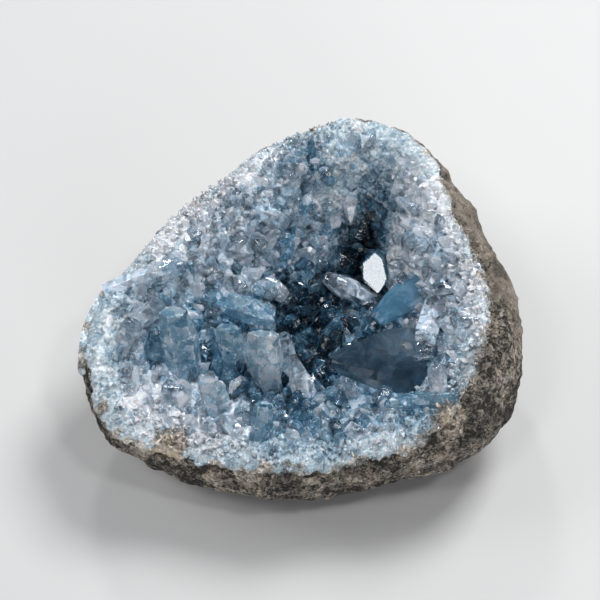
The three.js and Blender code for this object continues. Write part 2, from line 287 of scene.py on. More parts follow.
def node(tree, kind, inputs=None, **settings):
    """A new shader node of a kind, with these settings and inputs."""
    made = tree.nodes.new("ShaderNode" + kind)
    for key, value in settings.items():
        setattr(made, key, value)
    feed(tree, made, inputs or {})
    return made


def ramp(tree, factor, stops):
    """A colour ramp over a factor, from (position, colour) stops."""
    made = node(tree, "ValToRGB", {"Fac": factor})
    elements = made.color_ramp.elements
    while len(elements) < len(stops):
        elements.new(0.5)
    for element, (position, colour) in zip(elements, stops):
        element.position = position
        element.color = (*colour, 1)
    return made.outputs["Color"]


def mix(tree, factor, a, b, how="MIX"):
    """Colour a blended with colour b by a factor, or, where how is MULTIPLY, with a times b."""
    a, b = ((*colour, 1) if isinstance(colour, tuple) else colour for colour in (a, b))
    inputs = {0: factor, 6: a, 7: b}
    return node(tree, "Mix", inputs, data_type="RGBA", blend_type=how).outputs[2]


def node_group(name, inputs, outputs):
    """A shader node group with (name, kind) inputs and outputs: its tree, what it is given, and the node
    that takes its results."""
    tree = bpy.data.node_groups.new(name, "ShaderNodeTree")
    for in_out, sockets in (("INPUT", inputs), ("OUTPUT", outputs)):
        for socket, kind in sockets:
            tree.interface.new_socket(socket, in_out=in_out, socket_type="NodeSocket" + kind)
    return tree, tree.nodes.new("NodeGroupInput").outputs, tree.nodes.new("NodeGroupOutput")


def math(tree, how, *values):
    """A number worked out of numbers or sockets."""
    return node(tree, "Math", dict(enumerate(values)), operation=how).outputs[0]


def span(tree, value, low, high, least=0.0, most=1.0):
    """A straight line from least, where the value is low, to most, where it is high, level outside them."""
    inputs = {"Value": value, "From Min": low, "From Max": high, "To Min": least, "To Max": most}
    return node(tree, "MapRange", inputs).outputs[0]


def read(tree, name):
    """The number that the piece stores under this name."""
    return node(tree, "Attribute", attribute_name=name).outputs["Fac"]


def vector(tree, how, first, second=(0.0, 0.0, 0.0)):
    """A vector worked out of a first one and a second one or, where how is SCALE, a number."""
    inputs = {0: first, "Scale" if how == "SCALE" else 1: second}
    return node(tree, "VectorMath", inputs, operation=how).outputs[0]


def place_on(tree):
    """The place on the piece."""
    return node(tree, "TexCoord").outputs["Object"]


def noise(tree, scale, detail, roughness=0.5, distortion=0.0):
    """The outputs of soft noise all over the piece."""
    inputs = {"Vector": place_on(tree), "Scale": scale, "Detail": detail, "Roughness": roughness,
              "Distortion": distortion}
    return node(tree, "TexNoise", inputs).outputs


def wandering(tree, scale, by):
    """The place moved aside by noise, so that what is laid over it has no straight borders."""
    return vector(tree, "ADD", place_on(tree), vector(tree, "SCALE", noise(tree, scale, 2.0)["Color"], by))


def grain_chance(tree, place, scale):
    """A chance number from 0 to 1 for each grain of the stone."""
    cells = node(tree, "TexVoronoi", {"Vector": place, "Scale": scale}).outputs["Color"]
    return node(tree, "SeparateColor", {"Color": cells}).outputs["Red"]


PATCH_TONES = [(0.36, (0.17, 0.155, 0.13)), (0.46, (0.29, 0.265, 0.225)), (0.55, (0.38, 0.325, 0.27)),
               (0.66, (0.5, 0.46, 0.41))]
GRAIN_TONES = [(0.1, (0.1, 0.1, 0.1)), (0.32, (0.5, 0.49, 0.47)), (0.6, (1.0, 0.97, 0.93)),
               (0.9, (2.2, 2.15, 2.1))]
BARE_STONE, CREAM_AND_PAINTED_HIGHLIGHT, BLACK = (0.31, 0.26, 0.21), (0.62, 0.58, 0.51), (0.02, 0.018, 0.016)


def rind_group():
    """The rind's grains: brown-grey patches times the tones of grains of two sizes, mixed with cream on the
    fine noise's ridges, which the bump raises, so the cream is partly cream grains and partly a painted
    highlight on their tops, and with black where the speckle, less the patches, is thick. Bare stone is
    browner and has fewer black specks. Height is half the fine noise plus the speckle."""
    tree, given, result = node_group("rind grains", [("Black", "Float"), ("Bare", "Float")],
                                     [("Color", "Color"), ("Height", "Float")])
    moved = wandering(tree, 900.0, 0.0006)
    patches = noise(tree, 90.0, 4.0)["Fac"]
    speck = noise(tree, 1250.0, 5.0, 0.8)["Fac"]
    fine = noise(tree, 1500.0, 4.0, 0.75)["Fac"]
    large, small = grain_chance(tree, moved, 620.0), grain_chance(tree, moved, 1500.0)
    grain = math(tree, "MULTIPLY_ADD", small, 0.6, math(tree, "MULTIPLY", large, 0.4))
    tone = mix(tree, 0.9, ramp(tree, patches, PATCH_TONES), ramp(tree, grain, GRAIN_TONES), "MULTIPLY")
    tone = mix(tree, math(tree, "MULTIPLY", given["Bare"], 0.6), tone, BARE_STONE)
    # Cream on the raised ridges: cream grains, and partly a painted highlight on the bump's tops.
    tone = mix(tree, span(tree, fine, 0.56, 0.68, most=0.65), tone, CREAM_AND_PAINTED_HIGHLIGHT)
    thick = math(tree, "MULTIPLY_ADD", patches, -0.36, math(tree, "MULTIPLY_ADD", large, -0.12, speck))
    thick = math(tree, "MULTIPLY_ADD", given["Bare"], -0.09, thick)
    black = span(tree, thick, 0.27, 0.3)
    black = math(tree, "MAXIMUM", black, math(tree, "MULTIPLY", given["Black"], 0.6))
    colour = mix(tree, black, tone, BLACK)
    sunk = math(tree, "SUBTRACT", speck, math(tree, "MULTIPLY", black, 0.2))
    feed(tree, result, {"Color": colour, "Height": math(tree, "MULTIPLY_ADD", fine, 0.5, sunk)})
    return tree


RIND_GRAINS = rind_group()
rind_stone, tree, shader = material("rind_stone", {"Roughness": 0.75})
masks = {"Black": read(tree, "dent"), "Bare": read(tree, "bare")}
grains = node(tree, "Group", masks, node_tree=RIND_GRAINS)
GRAIN_HEIGHT = 1.4 * MM
bump = node(tree, "Bump", {"Height": grains.outputs["Height"], "Distance": GRAIN_HEIGHT, "Strength": 1.0})
feed(tree, shader, {"Base Color": grains.outputs["Color"], "Normal": bump.outputs["Normal"]})
rind.data.materials.append(rind_stone)
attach(rind, "root")
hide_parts("geode_shell")

# ----------------------------------------------------------------------------------------------------------
# The sugary lip: fine-grained, whitish celestite crust that the break laid open, grown fast to the rock. It
# is a strip bent into a ring over the broken edge, and its outer border wanders.

PIT_HEIGHT, RIM_HEIGHT = 10, 32


def depth_at(points):
    """How deep a point is, from 0 at the rim to 1 in the pits, by the smooth cubic of its height. It sets
    the painted shade of the hollow.
    """
    return 1 - smooth(points[..., 2], PIT_HEIGHT, RIM_HEIGHT)


# The x, y, radius and strength of each patch. Some dark spots are painted shade: in the recess, over
# the deep pit and between the crystals of the left slope.
WHITE_SPOTS = [(-34, -28, 15, 1.3), (-24, -38, 10, 1.2), (40, 22, 13, 1.4), (46, -2, 12, 1.0),
               (-36, 22, 14, 1.0), (-14, 34, 12, 0.8), (24, -36, 10, 0.3), (-16, 16, 9, 0.5)]
DARK_AND_PAINTED_SHADE_SPOTS = [(21, 33, 7, 1.6), (0, 12, 7, 0.8), (-9, -22, 5, 0.7), (-62, -4, 9, 0.5),
              (4, 46, 12, 0.4), (28, 47, 10, 0.4), (0, -37, 12, 0.7), (-36, -8, 12, 0.9),
              (-20, -14, 11, 0.9), (-28, 4, 8, 0.5)]


def pale_at(points):
    """Paler and bluer patches: roughness of three sizes, and a bell for each white or dark spot. Some dark
    spots are painted shade.
    """
    pale = rough(points + 7, 14) + 0.7 * rough(points, 6) + 0.4 * rough(points, 3)
    for sign, spots in ((1, WHITE_SPOTS), (-1, DARK_AND_PAINTED_SHADE_SPOTS)):
        for x, y, radius, strength in spots:
            pale = pale + sign * strength * bell(points[..., 0] - x, points[..., 1] - y, radius)
    return pale


# How wide the pale rim is, in equal steps round the nodule, and the sizes and heights of four kinds of
# blocks, of which the two larger kinds grow from the rim's height to the hollow's. Then the shades of the
# rim and of grown blocks, the painted shade that depth adds, what paleness takes off, and each kind's own
# tone shifts.
PALE_WIDTH = [12, 13, 12, 8, 5, 3, 2, 2, 4, 9, 15, 9, 6, 7, 10]
BIG, MIDDLING, LOW, TINY = 6.5, 3.1, 1.5, 0.8
BIG_RISE, MIDDLING_RISE, LOW_RISE, TINY_RISE = (0.6, 4.0), (0.9, 1.8), 0.6, 0.28
RIM_SHADE, GROWN_SHADE, PAINTED_DEPTH_SHADE, PALE_SHADE = 0.24, 0.03, 0.6, 0.3
BIG_TONE, MIDDLING_TONE, LOW_TONE = 0.35, 0.3, 0.14


def crust(points, inward, azimuth):
    """The relief of the crust and its shade. The relief adds up the blocks. The shade adds up painted shade
    by depth and each block's own tone, less the paleness."""
    width = around(PALE_WIDTH, azimuth)
    grown = smooth(inward + 4 * rough(points, 9), 0.3 * width, 1.3 * width + 3)
    big, big_tone = facets(points, BIG)
    middling, middling_tone = facets(points, MIDDLING)
    low, low_tone = facets(points, LOW)
    tiny, _ = facets(points, TINY)
    relief = blend(*BIG_RISE, grown) * big + blend(*MIDDLING_RISE, grown) * middling
    relief = relief + LOW_RISE * low + TINY_RISE * tiny
    # Depth adds painted shade, darkest down in the hollow.
    shade = RIM_SHADE + GROWN_SHADE * grown + PAINTED_DEPTH_SHADE * depth_at(points)
    shade = shade - PALE_SHADE * pale_at(points) * (0.4 + grown)
    tones = BIG_TONE * (big_tone - 0.5) + MIDDLING_TONE * (middling_tone - 0.5)
    shade = shade + grown * tones + LOW_TONE * (low_tone - 0.5)
    return relief, np.clip(shade, 0, 1)


# The x, y, radius and strength of each ochre spot, and the width of the stained border, as the lip's.
OCHRE_SPOTS = [(-36.5, -43, 5, 1.4), (-55, -34, 2.5, 1.3), (40, -40, 4, 0.7)]
STAIN_WIDTH, STAIN_SWING, STAIN_WIDEST = 3.2, 4, np.radians(-20)


def stain_at(points, inward, azimuth):
    """How much rind is mixed into the crust: all at the edge, none some millimetres in, farther in on the
    right, plus a bell for each ochre spot, where it goes over 1."""
    wide = STAIN_WIDTH + STAIN_SWING * np.cos(azimuth - STAIN_WIDEST)
    stain = 1 - smooth(inward + 5 * rough(points, 5) + 4 * rough(points, 2), -1.5, wide)
    for x, y, radius, strength in OCHRE_SPOTS:
        stain = stain + strength * bell(points[..., 0] - x, points[..., 1] - y, radius)
    return stain


def closed_ring(rows, sections):
    """Faces of a surface that is closed both ways, such as a hose bent into a ring."""
    row = np.arange(rows)[:, None] * sections
    return [between(row, (row + sections) % (rows * sections), sections)]


# The strip starts at a share of the shoulder, goes over the edge, and ends some millimetres past the lip.
STRIP_SECTIONS = 1080
OVER_ROWS, PAST_ROWS, UNDER_ROWS, END_ROWS = 16, 42, 5, 8
OVER_FROM, PAST_LIP = 0.35, 7
STRIP_SUNK, STRIP_RAISED, STRIP_THICKNESS = 1.6, 0.3, 2.6
BORDER_GRITS = [(8, 3.5), (2.6, 2.0), (1.3, 1.5)]
azimuth = np.linspace(0, 2 * np.pi, STRIP_SECTIONS, endpoint=False)[None, :]
reach, lip, _ = reach_at(azimuth)
over = np.linspace(OVER_FROM, 1, OVER_ROWS)[:, None]
inward = np.linspace(0, 1, PAST_ROWS + 1)[1:, None] * (lip + PAST_LIP)
strip = lumped(np.concatenate([back_at(azimuth, 1.0, over), hollow_at(azimuth, inward)]))
steps = np.linalg.norm(np.diff(strip, axis=0), axis=-1)
along = np.concatenate([np.zeros((1, STRIP_SECTIONS)), np.cumsum(steps, axis=0)])
along = along - along[OVER_ROWS - 1]
border = along + sum(rise * rough(strip, size) for size, rise in BORDER_GRITS)
cover = smooth(border, -1.2, 0.6)
cover = cover * (1 - smooth(np.arange(len(strip))[:, None], len(strip) - END_ROWS, len(strip) - 1))
relief, shade = crust(strip, along, azimuth)
normal = outward(strip)
top = strip + normal * blend(-STRIP_SUNK, STRIP_RAISED + relief, cover)[..., None]
rows = np.linspace(len(strip) - 1, 0, UNDER_ROWS).astype(int)
under = strip[rows] - normal[rows] * STRIP_THICKNESS
points = np.concatenate([top, under])
sugar_lip = mesh_piece("sugar_lip", points, closed_ring(len(points), STRIP_SECTIONS))
store(sugar_lip, "shade", np.concatenate([shade, shade[rows]]))
stain = stain_at(strip, along, azimuth)
store(sugar_lip, "stain", np.concatenate([stain, stain[rows]]))

# The colours of celestite, from the palest to the darkest shade. The darkest also give the painted shade
# deep in the hollow.
SHADES = [(0.0, (0.68, 0.685, 0.725)), (0.2, (0.345, 0.47, 0.55)), (0.4, (0.15, 0.3, 0.41)),
          (0.6, (0.055, 0.16, 0.255)), (0.8, (0.018, 0.05, 0.085)), (1.0, (0.004, 0.008, 0.014))]


def small_faces_group():
    """Small crystal faces: in each cell of a lattice of scattered points the normal leans another way, by
    the cell's chance colour less a half, and each cell has a tone of its own from -1 to 1, partly painted
    light and dark of faces seen inside the crystal."""
    tree, given, result = node_group("small faces", [("Scale", "Float"), ("Lean", "Float")],
                                     [("Normal", "Vector"), ("Tone And Painted Reflection", "Float")])
    wave, by = math(tree, "MULTIPLY", given["Scale"], 0.7), math(tree, "DIVIDE", 0.2, given["Scale"])
    moved = wandering(tree, wave, by)
    cells = node(tree, "TexVoronoi", {"Vector": moved, "Scale": given["Scale"]},
                 distance="MANHATTAN").outputs["Color"]
    lean = vector(tree, "SCALE", vector(tree, "SUBTRACT", cells, (0.5, 0.5, 0.5)), given["Lean"])
    normal = node(tree, "NewGeometry").outputs["Normal"]
    turned = vector(tree, "NORMALIZE", vector(tree, "ADD", normal, lean))
    one = node(tree, "SeparateColor", {"Color": cells}).outputs["Green"]
    feed(tree, result, {"Normal": turned, "Tone And Painted Reflection": math(tree, "MULTIPLY_ADD", one, 2.0, -1.0)})
    return tree


def celestite_group():
    """Celestite's look: the crystal's own shade, less its veils, white specks that are partly painted
    glints, and painted highlights on its bevelled edges, plus the tone of its small faces, partly painted
    reflections, is read from the row of shades. Veils and edges are rougher than clear crystal."""
    numbers = ("Veil Scale", "Veil", "Veil Depth", "Clear Roughness", "Veil Roughness", "Flecks And Painted Glints", "Painted Edge Highlight",
               "Tone And Painted Reflection")
    tree, given, result = node_group(
        "celestite", [(number, "Float") for number in numbers] + [("Normal", "Vector")],
        [("Color", "Color"), ("Roughness", "Float"), ("Normal", "Vector")])
    veil = noise(tree, given["Veil Scale"], 5.0, 0.65, 0.8)["Fac"]
    shift = span(tree, veil, 0.3, 0.7, given["Veil"], math(tree, "MULTIPLY", given["Veil"], -1.0))
    # White specks, partly inclusions and partly painted glints.
    flecks_and_painted_glints = span(tree, noise(tree, 1700.0, 3.0, 0.6)["Fac"], 0.58, 0.68)
    flecks_and_painted_glints = math(tree, "MULTIPLY", flecks_and_painted_glints, given["Flecks And Painted Glints"])
    # Bevel strips marked as edges are painted paler, a painted highlight broken up by the veils.
    edge = math(tree, "MULTIPLY", read(tree, "edge"), span(tree, veil, 0.44, 0.56))
    edge = math(tree, "MULTIPLY", edge, given["Painted Edge Highlight"])
    shade = math(tree, "SUBTRACT", math(tree, "ADD", read(tree, "shade"), shift), edge)
    shade = math(tree, "ADD", shade, math(tree, "SUBTRACT", given["Tone And Painted Reflection"], flecks_and_painted_glints))
    colour = ramp(tree, shade, SHADES)
    frost = span(tree, veil, 0.42, 0.7, given["Clear Roughness"], given["Veil Roughness"])
    rough_by = math(tree, "ADD", edge, frost)
    bump = node(tree, "Bump", {"Height": veil, "Distance": given["Veil Depth"], "Strength": 0.5,
                               "Normal": given["Normal"]})
    feed(tree, result, {"Color": colour, "Roughness": rough_by, "Normal": bump.outputs["Normal"]})
    return tree


SMALL_FACES, CELESTITE = small_faces_group(), celestite_group()
CELESTITE_IOR = 1.62


def celestite(name, veils, roughness, faces, transmission=0.0, flecks_and_painted_glints=0.3, edge=0.0):
    """A material of celestite. Veils are their scale, strength and depth, roughness is the clear crystal's
    and the veils', and faces are their scale, lean and tone, the tone partly painted reflections. The
    white specks are partly painted glints, and edge is how much paler the painted highlights on bevelled
    edges are."""
    made, tree, shader = material(name, {
        "Transmission Weight": transmission, "IOR": CELESTITE_IOR,
        "Specular IOR Level": 0.5 if transmission else 1.0})
    small = node(tree, "Group", {"Scale": faces[0], "Lean": faces[1]}, node_tree=SMALL_FACES)
    # Each small face's tone, partly painted reflections of faces inside the crystal.
    tone = math(tree, "MULTIPLY", small.outputs["Tone And Painted Reflection"], faces[2])
    look = node(tree, "Group", {
        "Veil Scale": veils[0], "Veil": veils[1], "Veil Depth": veils[2], "Clear Roughness": roughness[0],
        "Veil Roughness": roughness[1], "Flecks And Painted Glints": flecks_and_painted_glints, "Painted Edge Highlight": edge, "Tone And Painted Reflection": tone,
        "Normal": small.outputs["Normal"]}, node_tree=CELESTITE)
    told = look.outputs
    feed(tree, shader, {
        "Base Color": told["Color"], "Roughness": told["Roughness"], "Normal": told["Normal"]})
    return made, tree, shader


OCHRE = (0.45, 0.34, 0.2)
crust_stone, tree, shader = celestite(
    "crust_stone", veils=(600.0, 0.14, 0.0008), roughness=(0.08, 0.35), faces=(900.0, 0.9, 0.1))
stain = read(tree, "stain")
grains = node(tree, "Group", {"Black": 0.0, "Bare": 0.0}, node_tree=RIND_GRAINS)
spotty = math(tree, "MULTIPLY_ADD", math(tree, "SUBTRACT", grains.outputs["Height"], 0.75), 1.6, stain)
spotty = span(tree, spotty, 0.42, 0.58, most=0.9)
stained = mix(tree, span(tree, stain, 1.0, 2.0), grains.outputs["Color"], OCHRE)
blue = shader.inputs["Base Color"].links[0].from_socket
greyer = node(tree, "HueSaturation", {"Color": blue, "Saturation": 0.74})
stained = mix(tree, spotty, greyer.outputs[0], stained)
feed(tree, shader, {"Base Color": stained})
sugar_lip.data.materials.append(crust_stone)
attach(sugar_lip, "root")
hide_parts("geode_shell")

# ----------------------------------------------------------------------------------------------------------
# The crystal bed: the layer of intergrown blocks of celestite that lines the hollow and holds every
# crystal. It is pale near the lip and grey-blue to dark teal in the depth, where the dark is painted shade.

# The bed starts under the strip, this far past the lip's width. It is raised a little and tucked in at its
# start, and its under side lies this far below it.
BED_SECTIONS, BED_ROWS, UNDER_BED_ROWS = 640, 130, 6
BED_START, BED_RAISED, BED_TUCK = 4.5, 0.3, 1.5
BELOW_BED = [0, 0, 4.5]
azimuth = np.linspace(0, 2 * np.pi, BED_SECTIONS, endpoint=False)[None, :]
reach, lip, _ = reach_at(azimuth)
share = np.linspace(0, 0.99, BED_ROWS)[:, None]
inward = blend(lip + BED_START, reach, share)
bed = lumped(hollow_at(azimuth, inward))
relief, shade = crust(bed, inward, azimuth)
tuck = BED_TUCK * (1 - smooth(share, 0, 0.05))
bed = bed + outward(bed) * (relief + BED_RAISED - tuck)[..., None]
back_in = np.linspace(0.97, 0.02, UNDER_BED_ROWS)[:, None]
under = hollow_at(azimuth, blend(lip + BED_START, reach, back_in)) - BELOW_BED
middle = hollow_at(np.zeros(1), reach[:, 0])
points = np.concatenate([middle - BELOW_BED, under.reshape(-1, 3), bed.reshape(-1, 3), middle])
crystal_bed = mesh_piece("crystal_bed", points, closed_grid(len(bed) + len(under), BED_SECTIONS))
store(crystal_bed, "shade", np.concatenate([[1], np.ones(under.shape[:2]).ravel(), shade.ravel(), [1]]))


def finish_crystals(piece, look):
    """Gives a piece of the crust its material and its place."""
    piece.data.materials.append(look)
    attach(piece, "root")
    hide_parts("crystal_crust")


finish_crystals(crystal_bed, crust_stone)

# ----------------------------------------------------------------------------------------------------------
# The sugar: thousands of small stout crystals of whitish celestite on the lip and just inside it, where the
# crust stopped growing early. Each stands half sunk in the crust, leaning at random.

# Which of a crystal's own chance numbers gives which of its measures, and how uneven its corners are.
LEANS, LONG, WIDE, SHADE = (1, 2, 3), 3, 4, 20
FORMS = {"shoulder": 5, "thick": 9, "edge": 10, "blunt": 11}
UNEVEN = 0.6


def forms(seed, **ranges):
    """The seeds, and for each a form by chance: a straight line from one end of its range to the other."""
    made = {form: blend(*ends, chance(seed, FORMS[form])) for form, ends in ranges.items()}
    return dict(made, seed=seed)


def rings_of(seed, sides, bevel):
    """The rings of a prism: its corners round a circle, each moved aside and in by chance, how far each is
    dropped, the height row of each ring, from 0 at the base over 1 at the shoulder to 2 at the tip, and its
    extra scale. With a bevel each corner is cut off into two, and so are the shoulder and the tip."""
    corner, each = np.arange(sides)[None, :], seed[:, None]
    turn = (corner + UNEVEN * (chance(each, corner + 40) - 0.5)) * 2 * np.pi / sides
    far = 1 - 0.4 * UNEVEN * chance(each, corner + 50)
    ring = np.stack([np.sin(turn), -np.cos(turn)], -1) * far[..., None]
    drop = UNEVEN * (chance(each, corner + 60) - 0.5)
    if not bevel:
        return ring, drop, np.array([0.0, 1.0, 2.0]), np.ones(3)
    before, after = np.roll(ring, 1, axis=1), np.roll(ring, -1, axis=1)
    ring = np.stack([blend(ring, before, bevel), blend(ring, after, bevel)], 2)
    ring = ring.reshape(len(seed), -1, 2)
    rows = np.array([0, 1 - bevel, 1 + bevel, 2 - bevel, 2])
    return ring, np.repeat(drop, 2, axis=1), rows, np.array([1, 1, 1, 1, 1 - 2 * bevel])


def turned_to(axis):
    """The matrices that turn upright to each axis by the shortest way: one, plus the cross product's
    matrix, plus its square divided by one plus the axis's rise."""
    cross = np.zeros((len(axis), 3, 3))
    cross[:, 0, 2], cross[:, 2, 0] = axis[:, 0], -axis[:, 0]
    cross[:, 1, 2], cross[:, 2, 1] = axis[:, 1], -axis[:, 1]
    return np.eye(3) + cross + cross @ cross / (1 + axis[:, 2])[:, None, None]


def crystals(name, foot, axis, spin, length, width, thick, blunt, edge, shoulder, seed, sides, shade,
             bevel=0.0):
    """Crystals as one mesh. Each is a prism from a base ring, widening to a slanting shoulder ring, and a
    tip ring that is blunt times as wide, edge times as deep and a little aside. It is thick times as deep
    as it is wide, spun about itself, turned to its axis and stood on its foot. The bevels' strips are
    marked as edges, where the materials paint highlights."""
    ring, drop, rows, cap = rings_of(seed, sides, bevel)
    ring_count, corners = len(rows), ring.shape[1]
    tip = np.stack([blunt, edge], -1)
    slant = np.stack([0.5 * (chance(seed, k) - 0.5) for k in (5, 6)], -1)
    aside = np.stack([0.6 * (chance(seed, k) - 0.5) for k in (7, 8)], -1) * (1 - tip)
    lower, upper = np.minimum(rows, 1), np.maximum(rows - 1, 0)
    scale = blend(0.85, 1, lower)[None, :, None] + upper[None, :, None] * (tip[:, None] - 1)
    scale = scale * cap[None, :, None]
    height = shoulder[:, None] * lower + (1 - shoulder)[:, None] * upper
    flat = ring[:, None] * scale[:, :, None]
    rise = np.einsum("nrsk,nk->nrs", flat, slant) * np.minimum(rows * 4, 1)[None, :, None]
    flat = flat + aside[:, None, None] * upper[None, :, None, None]
    size = np.stack([width / 2, width / 2 * thick], -1)
    near_shoulder = (1 - np.abs(rows - 1))[None, :, None] ** 0.5 * (1 - shoulder)[:, None, None]
    z = (height[:, :, None] + near_shoulder * drop[:, None]) * length[:, None, None]
    z = z + rise * width[:, None, None] / 2
    x, y = np.moveaxis(flat * size[:, None, None], -1, 0)
    cos, sin = np.cos(spin)[:, None, None], np.sin(spin)[:, None, None]
    local = np.stack([x * cos - y * sin, x * sin + y * cos, z], -1)
    points = np.einsum("nij,nrsj->nrsi", turned_to(axis), local) + foot[:, None, None]
    base = (np.arange(len(foot)) * ring_count * corners)[:, None, None]
    row = base + np.arange(ring_count - 1)[None, :, None] * corners
    ends = base[:, 0] + np.arange(corners)
    bases, tips = ends[:, ::-1], ends + (ring_count - 1) * corners
    piece = mesh_piece(name, points, [between(row, row + corners, corners), bases, tips])
    every = np.ones(points.shape[:3])
    store(piece, "shade", np.clip(shade, 0, 1)[:, None, None] * every)
    store(piece, "along", height[:, :, None] * every)
    if bevel:
        # Bevel strips, where the materials paint highlights.
        strip = (np.arange(ring_count - 1) % 2 == 1)[:, None] | (np.arange(corners) % 2 == 0)[None, :]
        strips, caps = np.tile(strip.ravel(), len(foot)), np.zeros(2 * len(foot))
        store(piece, "edge", np.concatenate([strips, caps]), "FACE")
    return piece


def stand_at(azimuth, inward):
    """Where a crystal stands on the bed, and the bed's unit normal there, by the cross product of
    slopes."""
    here = hollow_at(azimuth, inward)
    beside = hollow_at(azimuth + 0.02, inward) - here
    above = hollow_at(azimuth, inward - 0.5) - here
    return here, unit(np.cross(above, beside))


SUGAR_COUNT, SUGAR_SEED = 3500, 20000
SUGAR_SIZE, SUGAR_LOOSE, SUGAR_SHADE = (0.6, 3.2), 1.6, 0.2
SUGAR_FROM, SUGAR_PAST_LIP = 0.8, 6
seed = np.arange(SUGAR_COUNT) + SUGAR_SEED
azimuth = chance(seed, 31) * 2 * np.pi
reach, lip, _ = reach_at(azimuth)
inward = blend(SUGAR_FROM, lip + SUGAR_PAST_LIP, chance(seed, 32))
here, out = stand_at(azimuth, inward)
lean = np.stack([chance(seed, k) - 0.5 for k in LEANS], -1)
grain = blend(*SUGAR_SIZE, chance(seed, 33) ** 4 * smooth(inward, 1, 5))
sugar = crystals(
    "sugar", foot=here + out * (0.7 - 0.6 * grain)[:, None], axis=unit(out + SUGAR_LOOSE * lean),
    spin=seed.astype(float), length=grain * 1.2 + 0.4, width=grain, sides=4,
    shade=SUGAR_SHADE - PALE_SHADE * pale_at(here) + 0.3 * (chance(seed, SHADE) - 0.5),
    **forms(seed, thick=(0.6, 1), blunt=(0.2, 0.8), edge=(0.2, 0.9), shoulder=(0.5, 0.8)))
stain = stain_at(here, inward, azimuth)
store(sugar, "stain", np.repeat(stain, len(sugar.data.vertices) // SUGAR_COUNT))
finish_crystals(sugar, crust_stone)

# ----------------------------------------------------------------------------------------------------------
# The large crystals: stout four-sided prisms of celestite that grew out of the bed, larger towards the
# deepest place. Each is clear and glassy outside and clouded at its root.

RISE = 0.35


def spiral(count, power, seed_from, upright, loose, shift=0.0, rim=1.0):
    """Places on a golden-angle spiral out from the deepest place, each at its share of the count, to a
    power, of the way. Its axis is the bed's normal times upright plus a chance, rising lean times loose."""
    seed = np.arange(count) + seed_from
    azimuth = (np.arange(count) + shift) * np.pi * (3 - np.sqrt(5)) % (2 * np.pi)
    out_share = ((np.arange(count) + 0.5) / count) ** power
    reach, lip, _ = reach_at(azimuth)
    here, out = stand_at(azimuth, blend(reach, lip * rim, out_share))
    lean = np.stack([chance(seed, k) - 0.5 for k in LEANS[:2]] + [np.full(count, RISE)], -1)
    return seed, here, unit(out * upright + lean * loose), out_share


def grown(seed, here, axis, size, length, width, longer, wider, sunk, root, **ranges):
    """Measures of crystals. Length and width go by size from the rim's to the deepest place's, each times a
    chance factor. Each crystal is sunk into the bed, and its root makes it longer."""
    return dict(
        foot=here - axis * sunk, axis=axis, spin=seed.astype(float),
        length=blend(*length, size) * blend(*longer, chance(seed, LONG)) + root,
        width=blend(*width, size) * blend(*wider, chance(seed, WIDE)), **forms(seed, **ranges))


def shade_of(here, seed, spread, shift=0.0):
    """A crystal's shade: painted shade by how deep it stands, less how pale the crust is there, shifted by
    chance.
    """
    deep = 0.75 * depth_at(here) - PALE_SHADE * pale_at(here)
    return 0.08 + deep + spread * (chance(seed, SHADE) - 0.5) + shift


def let_light_in(tree, shader, tint):
    """Lamps shine through the crystal, tinted, so that they light what is in and behind it."""
    path = node(tree, "LightPath").outputs["Is Shadow Ray"]
    passed = node(tree, "BsdfTransparent", {"Color": (*tint, 1)})
    joined = node(tree, "MixShader", {0: path, 1: shader.outputs[0], 2: passed.outputs[0]})
    feed(tree, tree.nodes["Material Output"], {"Surface": joined.outputs[0]})


CRYSTAL_BLUE = (0.3, 0.62, 0.8, 1)
clear_crystal, tree, shader = celestite(
    "clear_crystal", veils=(320.0, 0.05, 0.0002), roughness=(0.02, 0.1), faces=(420.0, 0.2, 0.0),
    transmission=1.0, edge=0.06)
absorb = node(tree, "VolumeAbsorption", {"Color": CRYSTAL_BLUE, "Density": 45.0})
feed(tree, tree.nodes["Material Output"], {"Volume": absorb.outputs["Volume"]})
let_light_in(tree, shader, (0.92, 0.96, 0.98))

cloud_core, tree, shader = celestite(
    "cloud_core", veils=(520.0, 0.2, 0.0008), roughness=(0.06, 0.3), faces=(520.0, 1.4, 0.2), edge=0.2)
thin = math(tree, "SUBTRACT", noise(tree, 650.0, 4.0, 0.7)["Fac"], read(tree, "along"))
feed(tree, shader, {"Alpha": span(tree, thin, -0.55, -0.1, least=0.05)})

CLOUD_WIDTH, CLOUD_LENGTH = 0.9, 0.92
CLEAR_SHADE = 0.1


def clouded(name, values, sides, shade, bevel):
    """Clear crystals round cloudy ones: the same prisms, less wide and less long, that thin out upwards."""
    clear = crystals(name + "_crystals", **values, sides=sides, shade=CLEAR_SHADE + 0 * shade, bevel=bevel)
    finish_crystals(clear, clear_crystal)
    cloud = dict(values, length=values["length"] * CLOUD_LENGTH, width=values["width"] * CLOUD_WIDTH)
    finish_crystals(crystals(name + "_clouds", **cloud, sides=sides, shade=shade), cloud_core)


LARGE_COUNT, LARGE_SEED = 48, 0
LARGE_LENGTH, LARGE_WIDTH = (4.5, 9), (8.5, 12.5)
SHARP, BLUNTED = 0.05, 0.35
ROOT = 2.0
seed, here, axis, out_share = spiral(LARGE_COUNT, 0.45, LARGE_SEED, upright=0.75, loose=1.0)
large = grown(
    seed, here, axis, 1 - out_share**1.5, LARGE_LENGTH, LARGE_WIDTH, longer=(0.7, 1.3), wider=(0.75, 1.25),
    sunk=ROOT, root=ROOT, thick=(0.5, 1), edge=(0.1, 0.9), shoulder=(0.5, 0.8))
large["blunt"] = np.where(seed % 2, SHARP, BLUNTED)
clouded("large", large, sides=4, shade=shade_of(here, seed, 0.7), bevel=0.05)

# ----------------------------------------------------------------------------------------------------------
# The medium crystals: six-sided prisms that filled the gaps between the large ones. Every second one is
# clear round a cloudy root, and the others are glassy blue blocks, crazed all through. None stands before
# the plate or a slab.

